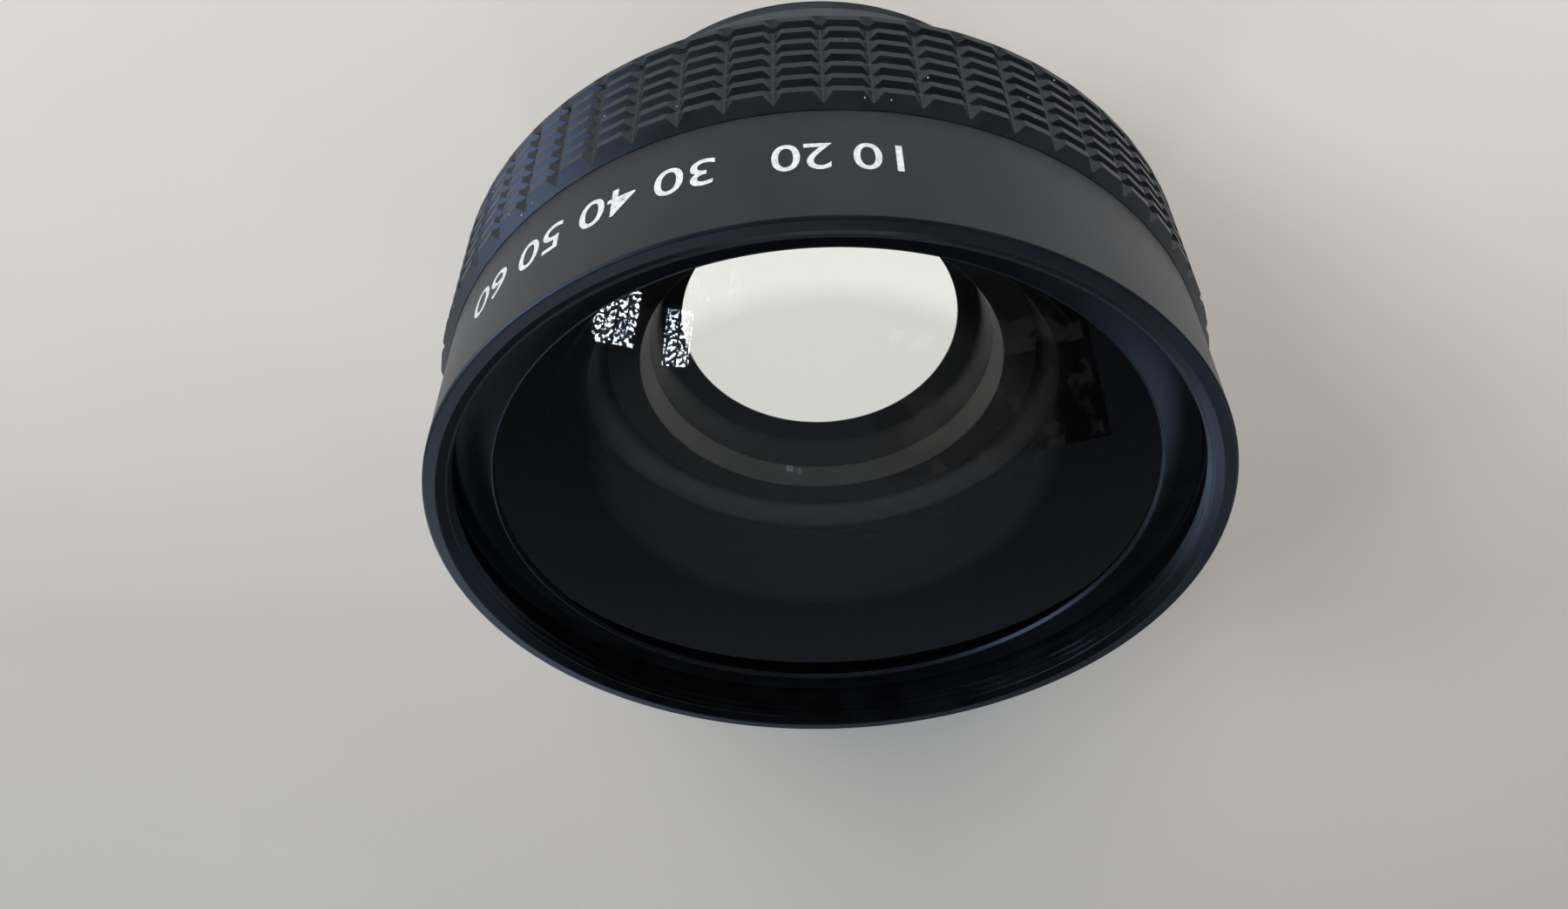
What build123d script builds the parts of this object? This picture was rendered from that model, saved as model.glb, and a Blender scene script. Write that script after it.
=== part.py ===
"""Wide-angle conversion lens, standing on its rear end.

The optical axis is +Z, the front rim is up, and the origin is the centre of the rear end's face.
All sizes are millimetres. Heights are measured from the rear end, depths from the front rim.
"""

from build123d import *
from math import atan2, cos, radians, sin, sqrt, tan
import os

os.makedirs("parts", exist_ok=True)

# Lengths of the outside, from the front rim to the rear end
band_length = 13.7
lip_length = 1.1
taper_length = 12.33
neck_length = 3.2
flange_thickness = 2.3
mount_thread_length = 5.6

# Front barrel
rim_radius = 38.0
rim_chamfer = 0.2
rim_wall = 2.0
filter_bevel_width = 0.8
filter_bevel_depth = 0.55
filter_thread_length = 1.85
filter_relief_depth = 0.5
filter_relief_length = 2.4
grip_seat_depth = 0.8
element_shoulder_length = 3.3
element_shoulder_width = 4.7
skirt_wall = 2.6

# Front retaining ring
ring_play = 0.2
ring_wall = 2.9
ring_lip_width = 0.75
ring_lip_thickness = 0.44
ring_ridge_width = 0.4
ring_ridge_bevel = 0.15
ring_cove_drop = 0.6
ring_cove_sag = 0.42
ring_length = 4.65

# Front element
front_glass_depth = 3.85
front_glass_thickness = 5.0
front_glass_front_curve = 1500.0
front_glass_hollow_depth = 7.78
front_glass_flat_width = 4.6
glass_bevel = 0.25

# Light baffle
baffle_wall = 1.0
baffle_flange_thickness = 0.8
baffle_step = 1.2
baffle_ledge_slope = 1.5
baffle_tube_length = 5.5
baffle_edge_chamfer = 0.25

# Main barrel
barrel_land_length = 1.6
barrel_lip_chamfer = 0.35
barrel_spigot_wall = 3.4
barrel_shoulder_drop = 1.2
barrel_floor_thickness = 1.4
barrel_pocket_width = 2.0
neck_wall = 1.75
neck_fillet = 2.5

# Dust seal
seal_section_radius = 0.48
seal_squeeze_room = 0.04
seal_side_room = 0.14
seal_groove_offset = 0.35

# Rubber grip
grip_rise = 0.95
grip_row_count = 7
grip_pad_length = 0.7
grip_front_slope = 0.525
grip_rear_slope = 0.22
grip_valley_floor = 0.4
grip_border_length = 1.34
grip_border_step = 0.05
grip_border_cone = 0.72
grip_rear_chamfer = 0.16
grip_rear_ring = 0.3
grip_valley_depth = 0.49
grip_column_count = 60
grip_column_angle = -88.5
grip_pad_width = 2.45
grip_groove_depth = 0.55
grip_groove_floor = 0.15
grip_pad_inset = 0.02
tape_thickness = 0.15

# Mount ring and its flange
mount_thread_radius = 27.5
mount_wall = 1.45
mount_thread_chamfer = 0.4
mount_relief_length = 1.0
mount_relief_depth = 0.5
mount_spigot_step = 0.5
mount_spigot_length = 2.2
flange_rise = 2.1
flange_chamfer = 0.3

# Rear cell and what it holds
cell_wall = 2.0
cell_pocket_wall = 1.7
cell_end_wall = 0.8
cell_end_depth = 0.6
cell_flange_width = 0.6
cell_flange_thickness = 1.0
cell_length = 16.9
cell_front_bevel = 0.5
cell_front_bevel_length = 1.9
cell_lip_thickness = 0.4
cell_lip_slope = 2.5
cell_lip_width = 2.6
rear_ring_thickness = 1.2
rear_ring_overlap = 0.6
rear_ring_bevel = 0.9
spanner_slot_width = 1.6
spanner_slot_depth = 0.6
crown_front_curve = 110.0
cement_curve = 170.0
crown_edge_thickness = 0.9
flint_thickness = 1.5

# Thin parts and fasteners
washer_thickness = 0.2
shim_thickness = 0.2
lock_screw_count = 3
lock_screw_radius = 0.8
lock_screw_margin = 0.25
lock_screw_inset = 0.25
lock_screw_slot_width = 0.35
lock_screw_slot_depth = 0.6
barrel_screw_angle = 30.0
mount_screw_angle = 90.0

# Clearances
screwed_clearance = 0.05
glass_clearance = 0.1
thin_clearance = 0.15

# Heights that the lengths above give
grip_row_pitch = grip_pad_length + grip_rear_slope + grip_valley_floor + grip_front_slope
grip_rows_length = (grip_row_count - 1) * grip_row_pitch + grip_pad_length
grip_length = grip_border_length + grip_rows_length + grip_rear_chamfer
flange_top = mount_thread_length + flange_thickness
neck_top = flange_top + neck_length
taper_top = neck_top + taper_length
grip_bottom = taper_top + lip_length
grip_top = grip_bottom + grip_length
front_height = grip_top + band_length
barrel_split = grip_bottom + barrel_land_length

# Radii that follow from the rim and its walls
filter_thread_radius = rim_radius - rim_wall
ring_radius = filter_thread_radius - ring_play
element_bore = ring_radius - ring_wall
element_radius = element_bore - glass_clearance
front_glass_clear_radius = element_radius - front_glass_flat_width
shoulder_radius = element_bore - element_shoulder_width
grip_seat_radius = rim_radius - grip_seat_depth
skirt_bore = grip_seat_radius - skirt_wall
spigot_radius = skirt_bore - screwed_clearance
spigot_bore = spigot_radius - barrel_spigot_wall

# Radii that follow from the mount thread and its walls
flange_radius = mount_thread_radius + flange_rise
mount_spigot_radius = mount_thread_radius - mount_spigot_step
neck_socket = mount_spigot_radius + screwed_clearance
neck_radius = neck_socket + neck_wall
mount_mouth = mount_thread_radius - mount_wall
cell_flange_radius = mount_mouth - screwed_clearance
cell_radius = cell_flange_radius - cell_flange_width
cell_bore = cell_radius + screwed_clearance
cell_tube_radius = cell_radius - cell_wall
cell_lip_radius = cell_tube_radius - cell_lip_width
cell_pocket = cell_radius - cell_pocket_wall
rear_glass_radius = cell_pocket - glass_clearance
ring_pocket = cell_radius - cell_end_wall
rear_ring_radius = ring_pocket - screwed_clearance


def sag(curve, half_width):
    """How far a sphere of radius curve falls away at half_width from its top."""
    return curve - sqrt(curve**2 - half_width**2)


def curve_through(depth, half_width):
    """Radius of the sphere that falls away by depth at half_width from its top."""
    return (half_width**2 + depth**2) / (2 * depth)


def dome(top, curve, half_width, rise=-1):
    """Three points on a spherical face's section, from the axis out, falling or rising outward."""
    return [(x, top + rise * sag(curve, x)) for x in (0, half_width / 2, half_width)]


def radial_plane(angle, radius, height):
    """A plane that faces outward from the axis, at an angle in degrees, a radius and a height."""
    out = (cos(radians(angle)), sin(radians(angle)), 0)
    across = (-out[1], out[0], 0)
    return Plane(origin=(radius * out[0], radius * out[1], height), x_dir=across, z_dir=out)


def around(count, start):
    """Angles of count equal places round the axis."""
    return [start + 360 / count * place for place in range(count)]


# Heights of the front element's faces
front_vertex = front_height - front_glass_depth
inner_vertex = front_vertex - front_glass_thickness
element_rim = front_vertex - sag(front_glass_front_curve, element_radius - glass_bevel)
element_back = inner_vertex - front_glass_hollow_depth
hollow_curve = curve_through(front_glass_hollow_depth, front_glass_clear_radius)
shoulder_top = element_back - washer_thickness
shoulder_bottom = shoulder_top - element_shoulder_length
ring_lip_radius = element_radius - ring_lip_width
ring_lip_floor = front_vertex - sag(front_glass_front_curve, ring_lip_radius)
ridge_height = ring_lip_floor + ring_lip_thickness
ring_top = ridge_height - ring_cove_drop
ring_bottom = ring_top - ring_length
ring_seat = ring_bottom - thin_clearance

# Heights where the two barrels meet, with the seal below the grub screws
seal_groove_depth = 2 * seal_section_radius + seal_squeeze_room
seal_groove_width = 2 * seal_section_radius + seal_side_room
seal_bottom = barrel_split + seal_groove_offset
seal_top = seal_bottom + seal_groove_width
barrel_screw_height = seal_top + lock_screw_margin + lock_screw_radius

# Front barrel: rim, filter thread's bore, printed band, grip seat and threaded skirt
relief_top = front_height - filter_bevel_depth - filter_thread_length
relief_bottom = relief_top - filter_relief_length
with BuildPart() as front_barrel:
    with BuildSketch(Plane.XZ):
        with BuildLine():
            Polyline(
                (rim_radius, grip_top),
                (rim_radius, front_height - rim_chamfer),
                (rim_radius - rim_chamfer, front_height),
                (filter_thread_radius + filter_bevel_width, front_height),
                (filter_thread_radius, front_height - filter_bevel_depth),
                (filter_thread_radius, relief_top),
                (filter_thread_radius + filter_relief_depth, relief_top),
                (filter_thread_radius + filter_relief_depth, relief_bottom),
                (ring_radius + screwed_clearance, relief_bottom),
                (ring_radius + screwed_clearance, ring_seat),
                (element_bore, ring_seat),
                (element_bore, shoulder_top),
                (shoulder_radius, shoulder_top),
                (shoulder_radius, shoulder_bottom),
                (skirt_bore, shoulder_bottom),
                (skirt_bore, barrel_split),
                (grip_seat_radius, barrel_split),
                (grip_seat_radius, grip_top),
                close=True,
            )
        make_face()
    revolve(axis=Axis.Z)
    for angle in around(lock_screw_count, barrel_screw_angle):
        with BuildSketch(radial_plane(angle, spigot_radius, barrel_screw_height)):
            Circle(lock_screw_radius + screwed_clearance)
        extrude(amount=skirt_wall + screwed_clearance, mode=Mode.SUBTRACT)

# Front retaining ring: a threaded sleeve whose hollow face rises to a thin ridge at the glass
ridge_radius = ring_lip_radius + ring_ridge_bevel
cove_start = ridge_radius + ring_ridge_width
cove_middle = (cove_start + ring_radius) / 2
with BuildPart() as front_retaining_ring:
    with BuildSketch(Plane.XZ):
        with BuildLine():
            ThreePointArc(
                (cove_start, ridge_height),
                (cove_middle, (ridge_height + ring_top) / 2 - ring_cove_sag),
                (ring_radius, ring_top),
            )
            Polyline(
                (ring_radius, ring_top),
                (ring_radius, ring_bottom),
                (element_bore, ring_bottom),
                (element_bore, ring_lip_floor),
                (ring_lip_radius, ring_lip_floor),
                (ridge_radius, ridge_height),
                (cove_start, ridge_height),
            )
        make_face()
    revolve(axis=Axis.Z)

# Front element: nearly flat in front, deeply hollow behind, with a flat ring round the hollow
with BuildPart() as front_element:
    with BuildSketch(Plane.XZ):
        with BuildLine():
            ThreePointArc(
                *dome(front_vertex, front_glass_front_curve, element_radius - glass_bevel)
            )
            Polyline(
                (element_radius - glass_bevel, element_rim),
                (element_radius, element_rim - glass_bevel),
                (element_radius, element_back + glass_bevel),
                (element_radius - glass_bevel, element_back),
                (front_glass_clear_radius, element_back),
            )
            ThreePointArc(*dome(inner_vertex, hollow_curve, front_glass_clear_radius))
            Line((0, inner_vertex), (0, front_vertex))
        make_face()
    revolve(axis=Axis.Z)

# Washer between the front element and the barrel's shoulder
with BuildPart() as front_lens_washer:
    with BuildSketch(Plane.XY.offset(shoulder_top)):
        Circle(element_radius)
        Circle(front_glass_clear_radius + thin_clearance, mode=Mode.SUBTRACT)
    extrude(amount=washer_thickness)

# Light baffle: a turned funnel whose flange is clamped between the two barrels
baffle_radius = shoulder_radius - baffle_step
baffle_floor = shoulder_bottom - baffle_flange_thickness
cell_top = cell_end_depth + cell_length
ledge_bottom = cell_top + baffle_tube_length
ledge_top = ledge_bottom + baffle_ledge_slope
baffle_bend = atan2(baffle_radius - cell_tube_radius, baffle_ledge_slope)
bend_drop = baffle_wall * tan(baffle_bend / 2)
with BuildPart() as light_baffle:
    with BuildSketch(Plane.XZ):
        with BuildLine():
            Polyline(
                (baffle_radius + baffle_edge_chamfer, shoulder_bottom),
                (baffle_radius, shoulder_bottom - baffle_edge_chamfer),
                (baffle_radius, ledge_top),
                (cell_tube_radius, ledge_bottom),
                (cell_tube_radius, cell_top),
                (cell_tube_radius + baffle_wall, cell_top),
                (cell_tube_radius + baffle_wall, ledge_bottom - bend_drop),
                (baffle_radius + baffle_wall, ledge_top - bend_drop),
                (baffle_radius + baffle_wall, baffle_floor),
                (skirt_bore - thin_clearance, baffle_floor),
                (skirt_bore - thin_clearance, shoulder_bottom),
                close=True,
            )
        make_face()
    revolve(axis=Axis.Z)

# Main barrel: front spigot, land and lip behind the grip, taper, and the neck with its socket
mount_spigot_top = flange_top + mount_spigot_length
socket_top = mount_spigot_top + thin_clearance
mount_screw_height = flange_top + mount_spigot_length / 2
lip_radius = rim_radius - barrel_lip_chamfer
pocket_bottom = neck_top + barrel_floor_thickness
with BuildPart() as main_barrel:
    with BuildSketch(Plane.XZ):
        with BuildLine():
            Polyline(
                (spigot_radius, baffle_floor),
                (spigot_radius, seal_top),
                (spigot_radius - seal_groove_depth, seal_top),
                (spigot_radius - seal_groove_depth, seal_bottom),
                (spigot_radius, seal_bottom),
                (spigot_radius, barrel_split),
                (grip_seat_radius, barrel_split),
                (grip_seat_radius, grip_bottom),
                (lip_radius, grip_bottom),
                (rim_radius, grip_bottom - barrel_lip_chamfer),
                (rim_radius, taper_top + barrel_lip_chamfer),
                (lip_radius, taper_top),
            )
            FilletPolyline(
                (lip_radius, taper_top),
                (lip_radius - barrel_shoulder_drop, taper_top - barrel_shoulder_drop / 2),
                (neck_radius, neck_top),
                (neck_radius, flange_top),
                radius=[barrel_shoulder_drop / 2, neck_fillet],
            )
            Polyline(
                (neck_radius, flange_top),
                (neck_socket, flange_top),
                (neck_socket, socket_top),
                (cell_bore, socket_top),
                (cell_bore, pocket_bottom),
                (cell_bore + barrel_pocket_width, pocket_bottom),
                (spigot_bore, grip_bottom),
                (spigot_bore, baffle_floor),
                (spigot_radius, baffle_floor),
            )
        make_face()
    revolve(axis=Axis.Z)
    for angle in around(lock_screw_count, mount_screw_angle):
        with BuildSketch(radial_plane(angle, mount_spigot_radius, mount_screw_height)):
            Circle(lock_screw_radius + screwed_clearance)
        extrude(amount=neck_radius - mount_spigot_radius, mode=Mode.SUBTRACT)

# Dust seal in the groove of the spigot
with BuildPart() as dust_seal:
    with BuildSketch(Plane.XZ):
        with Locations((spigot_radius - seal_groove_depth / 2, (seal_bottom + seal_top) / 2)):
            Circle(seal_section_radius)
    revolve(axis=Axis.Z)

# Grub screws that lock the front barrel, under the rubber
with BuildPart() as barrel_lock_screws:
    for angle in around(lock_screw_count, barrel_screw_angle):
        with BuildSketch(radial_plane(angle, spigot_radius, barrel_screw_height)):
            Circle(lock_screw_radius)
        extrude(amount=skirt_wall + screwed_clearance - lock_screw_inset)
        screw_end = grip_seat_radius - lock_screw_inset
        with BuildSketch(radial_plane(angle, screw_end, barrel_screw_height)):
            Rectangle(2 * lock_screw_radius, lock_screw_slot_width)
        extrude(amount=-lock_screw_slot_depth, mode=Mode.SUBTRACT)

# Tape that bonds the rubber to its seat
tape_radius = grip_seat_radius + tape_thickness
with BuildPart() as grip_tape:
    with BuildSketch(Plane.XY.offset(grip_bottom)):
        Circle(tape_radius)
        Circle(grip_seat_radius, mode=Mode.SUBTRACT)
    extrude(amount=grip_length)

# One column of the grip: seven pads with sloped valleys between them, all on flat faces
grip_radius = rim_radius + grip_rise
groove_radius = grip_radius - grip_groove_depth
pad_radius = grip_radius - grip_pad_inset
valley_radius = grip_radius - grip_valley_depth
column_root = (tape_radius + groove_radius) / 2
first_pad = grip_top - grip_border_length
column_bottom = grip_bottom + grip_rear_ring / 2
column_pitch = 360 / grip_column_count
groove_half_floor = grip_groove_floor / 2
column_half_root = groove_radius * radians(column_pitch) / 2 - groove_half_floor
flank = (column_half_root - grip_pad_width / 2) / (pad_radius - groove_radius)
column_section = [(column_root, first_pad + grip_front_slope)]
for row in range(grip_row_count):
    pad_front = first_pad - row * grip_row_pitch
    column_section += [
        (valley_radius, pad_front + grip_front_slope * grip_valley_depth / grip_groove_depth),
        (pad_radius, pad_front),
        (pad_radius, pad_front - grip_pad_length),
        (valley_radius, pad_front - grip_pad_length - grip_rear_slope),
    ]
column_section = column_section[:-1]
column_section[-1] = (pad_radius, column_bottom)
column_section += [(column_root, column_bottom)]
with BuildPart() as grip_column:
    with BuildSketch(Plane.XZ):
        with BuildLine():
            Polyline(*column_section, close=True)
        make_face()
    extrude(amount=column_half_root * 2, both=True)
    with BuildSketch(Plane.XY.offset(grip_bottom)):
        with BuildLine():
            half_root = column_half_root + flank * (groove_radius - column_root)
            half_top = grip_pad_width / 2
            Polyline(
                (column_root, -half_root),
                (pad_radius, -half_top),
                (pad_radius, half_top),
                (column_root, half_root),
                close=True,
            )
        make_face()
    extrude(amount=grip_length, mode=Mode.INTERSECT)

# Rubber grip: sixty columns of pads on one moulded ring with a plain rear edge
border_radius = rim_radius + grip_border_step
with BuildPart() as grip_ring:
    with BuildSketch(Plane.XZ):
        with BuildLine():
            Polyline(
                (tape_radius, grip_top),
                (border_radius, grip_top),
                (groove_radius, grip_top - grip_border_cone),
                (groove_radius, grip_bottom + grip_rear_ring),
                (grip_radius, grip_bottom + grip_rear_ring),
                (grip_radius, grip_bottom + grip_rear_chamfer),
                (grip_radius - grip_rear_chamfer, grip_bottom),
                (tape_radius, grip_bottom),
                close=True,
            )
        make_face()
    revolve(axis=Axis.Z)
    with PolarLocations(0, grip_column_count, start_angle=grip_column_angle):
        add(grip_column.part)

# Mount ring: male thread's cylinder with its relief, flange, and the spigot in the neck's socket
flange_edge = flange_radius - flange_chamfer
mount_relief_radius = mount_thread_radius - mount_relief_depth
mount_relief_bottom = mount_thread_length - mount_relief_length
cell_flange_top = cell_end_depth + cell_flange_thickness
shim_top = cell_flange_top + shim_thickness
with BuildPart() as mount_ring:
    with BuildSketch(Plane.XZ):
        with BuildLine():
            Polyline(
                (mount_mouth, 0),
                (mount_thread_radius - mount_thread_chamfer, 0),
                (mount_thread_radius, mount_thread_chamfer),
                (mount_thread_radius, mount_relief_bottom),
                (mount_relief_radius, mount_relief_bottom),
                (mount_relief_radius, mount_thread_length),
                (flange_edge, mount_thread_length),
                (flange_radius, mount_thread_length + flange_chamfer),
                (flange_radius, flange_top - flange_chamfer),
                (flange_edge, flange_top),
                (mount_spigot_radius, flange_top),
                (mount_spigot_radius, mount_spigot_top),
                (cell_bore, mount_spigot_top),
                (cell_bore, shim_top),
                (mount_mouth, shim_top),
                close=True,
            )
        make_face()
    revolve(axis=Axis.Z)

# Grub screws in the neck that lock the mount ring
with BuildPart() as mount_lock_screws:
    for angle in around(lock_screw_count, mount_screw_angle):
        with BuildSketch(radial_plane(angle, mount_spigot_radius, mount_screw_height)):
            Circle(lock_screw_radius)
        extrude(amount=neck_radius - mount_spigot_radius - lock_screw_inset)
        with BuildSketch(radial_plane(angle, neck_radius - lock_screw_inset, mount_screw_height)):
            Rectangle(2 * lock_screw_radius, lock_screw_slot_width)
        extrude(amount=-lock_screw_slot_depth, mode=Mode.SUBTRACT)

# Rear cell: bevelled tube, sloped lip in front of the doublet, and a flange at the rear
flint_back = cell_end_depth + rear_ring_thickness
cement_vertex = flint_back + flint_thickness
cement_edge = cement_vertex + sag(cement_curve, rear_glass_radius)
crown_edge = cement_edge + crown_edge_thickness
crown_top = crown_edge + sag(crown_front_curve, rear_glass_radius)
washer_inner = cell_lip_radius + thin_clearance
crown_seat = crown_top - sag(crown_front_curve, washer_inner)
lip_floor = crown_seat + washer_thickness
lip_top = lip_floor + cell_lip_thickness
with BuildPart() as rear_cell:
    with BuildSketch(Plane.XZ):
        with BuildLine():
            Polyline(
                (cell_tube_radius + cell_front_bevel, cell_top),
                (cell_tube_radius, cell_top - cell_front_bevel_length),
                (cell_tube_radius, lip_top + cell_lip_slope),
                (cell_lip_radius, lip_top),
                (cell_lip_radius, lip_floor),
                (cell_pocket, lip_floor),
                (cell_pocket, flint_back),
                (ring_pocket, flint_back),
                (ring_pocket, cell_end_depth),
                (cell_flange_radius, cell_end_depth),
                (cell_flange_radius, cell_flange_top),
                (cell_radius, cell_flange_top),
                (cell_radius, cell_top),
                close=True,
            )
        make_face()
    revolve(axis=Axis.Z)

# Shim between the cell's flange and the step in the mount ring
with BuildPart() as spacing_shim:
    with BuildSketch(Plane.XY.offset(cell_flange_top)):
        Circle(cell_flange_radius)
        Circle(cell_bore, mode=Mode.SUBTRACT)
    extrude(amount=shim_thickness)

# Washer between the doublet and the lip of the cell
with BuildPart() as rear_lens_washer:
    with BuildSketch(Plane.XY.offset(crown_seat)):
        Circle(rear_glass_radius)
        Circle(washer_inner, mode=Mode.SUBTRACT)
    extrude(amount=washer_thickness)

# Crown element: bulged on both sides, in front
with BuildPart() as crown_element:
    with BuildSketch(Plane.XZ):
        with BuildLine():
            ThreePointArc(*dome(crown_top, crown_front_curve, rear_glass_radius))
            Line((rear_glass_radius, crown_edge), (rear_glass_radius, cement_edge))
            ThreePointArc(*dome(cement_vertex, cement_curve, rear_glass_radius, rise=1))
            Line((0, cement_vertex), (0, crown_top))
        make_face()
    revolve(axis=Axis.Z)

# Flint element: cemented to the crown, flat behind
with BuildPart() as flint_element:
    with BuildSketch(Plane.XZ):
        with BuildLine():
            ThreePointArc(*dome(cement_vertex, cement_curve, rear_glass_radius, rise=1))
            Polyline(
                (rear_glass_radius, cement_edge),
                (rear_glass_radius, flint_back),
                (0, flint_back),
                (0, cement_vertex),
            )
        make_face()
    revolve(axis=Axis.Z)

# Rear retaining ring with two spanner slots
ring_opening = rear_glass_radius - rear_ring_overlap
with BuildPart() as rear_retaining_ring:
    with BuildSketch(Plane.XZ):
        with BuildLine():
            Polyline(
                (ring_opening, flint_back),
                (ring_opening, cell_end_depth + rear_ring_bevel),
                (ring_opening + rear_ring_bevel, cell_end_depth),
                (rear_ring_radius, cell_end_depth),
                (rear_ring_radius, flint_back),
                close=True,
            )
        make_face()
    revolve(axis=Axis.Z)
    with BuildSketch(Plane.XY.offset(cell_end_depth)):
        Rectangle(2 * rear_ring_radius, spanner_slot_width)
    extrude(amount=spanner_slot_depth, mode=Mode.SUBTRACT)

pieces = {
    "front_barrel": front_barrel,
    "front_retaining_ring": front_retaining_ring,
    "front_element": front_element,
    "front_lens_washer": front_lens_washer,
    "light_baffle": light_baffle,
    "main_barrel": main_barrel,
    "dust_seal": dust_seal,
    "barrel_lock_screws": barrel_lock_screws,
    "grip_tape": grip_tape,
    "grip_ring": grip_ring,
    "mount_ring": mount_ring,
    "mount_lock_screws": mount_lock_screws,
    "rear_cell": rear_cell,
    "spacing_shim": spacing_shim,
    "rear_lens_washer": rear_lens_washer,
    "crown_element": crown_element,
    "flint_element": flint_element,
    "rear_retaining_ring": rear_retaining_ring,
}
for name, piece in pieces.items():
    piece.part.label = name
    export_step(piece.part, f"parts/{name}.step")
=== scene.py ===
"""Looks of a wide-angle conversion lens that stands on its rear end, front glass up.

The optical axis is +Z and the rear end's face lies on the floor. Sizes are millimetres in the
classes below and metres in the meshes. Every turned piece is a profile carried round the axis.
"""

import logging
import math
from collections.abc import Callable
from dataclasses import dataclass
from enum import Enum

import bmesh
import bpy
import numpy as np
from mathutils import Matrix, Vector

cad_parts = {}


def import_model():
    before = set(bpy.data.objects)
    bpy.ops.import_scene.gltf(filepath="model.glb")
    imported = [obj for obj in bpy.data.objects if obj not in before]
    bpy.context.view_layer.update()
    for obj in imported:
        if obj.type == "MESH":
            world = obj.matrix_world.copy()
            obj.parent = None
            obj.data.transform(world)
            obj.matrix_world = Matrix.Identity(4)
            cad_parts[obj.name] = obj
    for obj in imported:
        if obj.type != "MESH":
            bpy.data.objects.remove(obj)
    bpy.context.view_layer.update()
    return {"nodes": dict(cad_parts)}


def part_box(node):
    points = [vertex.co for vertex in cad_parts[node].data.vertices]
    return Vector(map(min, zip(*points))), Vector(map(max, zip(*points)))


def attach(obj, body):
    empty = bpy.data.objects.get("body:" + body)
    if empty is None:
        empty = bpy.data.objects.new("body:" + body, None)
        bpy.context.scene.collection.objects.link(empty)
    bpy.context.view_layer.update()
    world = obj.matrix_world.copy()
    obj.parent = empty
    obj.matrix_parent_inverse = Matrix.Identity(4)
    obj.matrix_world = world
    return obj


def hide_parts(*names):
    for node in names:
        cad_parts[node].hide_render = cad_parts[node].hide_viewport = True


MM = 0.001
TINY = 1e-6
BODY = "root"
log = logging.getLogger("conversion_lens")

Points = np.ndarray
Shape = Callable[[Points, Points, Points], Points]
Tree = bpy.types.NodeTree
Socket = bpy.types.NodeSocket
Material = bpy.types.Material
Piece = bpy.types.Object


# Colours and shader nodes


def linear(code: str) -> tuple[float, float, float, float]:
    """Turns an sRGB hex colour into linear red, green, blue and alpha.

    Args:
        code: six hex digits after a hash sign.

    Returns:
        The linear colour with an alpha of 1.
    """
    parts = np.array([int(code[place : place + 2], 16) for place in (1, 3, 5)]) / 255
    low = parts / 12.92
    high = ((parts + 0.055) / 1.055) ** 2.4
    return (*np.where(parts <= 0.04045, low, high).tolist(), 1.0)


def add_node(tree: Tree, kind: str, settings: dict | None = None, **inputs: object) -> bpy.types.Node:
    """Adds one shader node, sets its properties and fills or links its inputs.

    Args:
        tree: the node tree that takes the node.
        kind: the node's type name after ShaderNode.
        settings: properties of the node itself, by name.
        inputs: an input's name, with underscores for spaces, or i and its number, and a value or an
            output socket.

    Returns:
        The new node.
    """
    node = tree.nodes.new("ShaderNode" + kind)
    for name, value in (settings or {}).items():
        setattr(node, name, value)
    for name, value in inputs.items():
        numbered = name[0] == "i" and name[1:].isdigit()
        socket = node.inputs[int(name[1:]) if numbered else name.replace("_", " ")]
        if isinstance(value, Socket):
            tree.links.new(value, socket)
        else:
            socket.default_value = value
    return node


def new_material(name: str, shade: Callable[[Tree, Socket], Socket]) -> Material:
    """Makes a material.

    Args:
        name: the material's name.
        shade: takes the node tree and its Object coordinates, and gives the surface's shader.

    Returns:
        The material.
    """
    material = bpy.data.materials.new(name)
    material.use_nodes = True
    tree = material.node_tree
    tree.nodes.clear()
    place = add_node(tree, "TexCoord").outputs["Object"]
    add_node(tree, "OutputMaterial", Surface=shade(tree, place))
    return material


def principled(tree: Tree, **inputs: object) -> Socket:
    """Adds a Principled shader with these inputs and gives its output."""
    return add_node(tree, "BsdfPrincipled", **inputs).outputs["BSDF"]


def mix_shaders(tree: Tree, share: Socket, first: Socket, second: Socket) -> Socket:
    """Mixes two shaders: the first where share is 0, the second where it is 1."""
    return add_node(tree, "MixShader", i0=share, i1=first, i2=second).outputs["Shader"]


def reckon(tree: Tree, operation: str, first: Socket, second: Socket | float) -> Socket:
    """Adds a math node of two inputs and gives its value."""
    return add_node(tree, "Math", {"operation": operation}, i0=first, i1=second).outputs["Value"]


def noise(tree: Tree, grain_mm: float, detail: float, place: Socket) -> Socket:
    """Adds a noise whose grains are about grain_mm across and gives its value."""
    return add_node(tree, "TexNoise", Vector=place, Scale=1 / (grain_mm * MM), Detail=detail).outputs["Fac"]


def ramp(tree: Tree, value: Socket, low: str, high: str, start: float, end: float) -> Socket:
    """Maps a value between two sRGB colours.

    Args:
        tree: the node tree.
        value: the value to map.
        low: the colour at and under start.
        high: the colour at and over end.
        start: the value where the change begins.
        end: the value where it ends.

    Returns:
        The colour output.
    """
    node = add_node(tree, "ValToRGB", Fac=value)
    for element, position, code in zip(node.color_ramp.elements, (start, end), (low, high)):
        element.position = position
        element.color = linear(code)
    return node.outputs["Color"]


def spread(tree: Tree, value: Socket, low: float, high: float, start: float = 0.0, end: float = 1.0) -> Socket:
    """Maps a value from start to end onto the range from low to high."""
    limits = {"From_Min": start, "From_Max": end, "To_Min": low, "To_Max": high}
    return add_node(tree, "MapRange", Value=value, **limits).outputs["Result"]


def bump(tree: Tree, height: Socket, strength: float, depth_mm: float) -> Socket:
    """Adds a bump of this depth and gives its normal."""
    return add_node(tree, "Bump", Strength=strength, Distance=depth_mm * MM, Height=height).outputs["Normal"]


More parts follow.
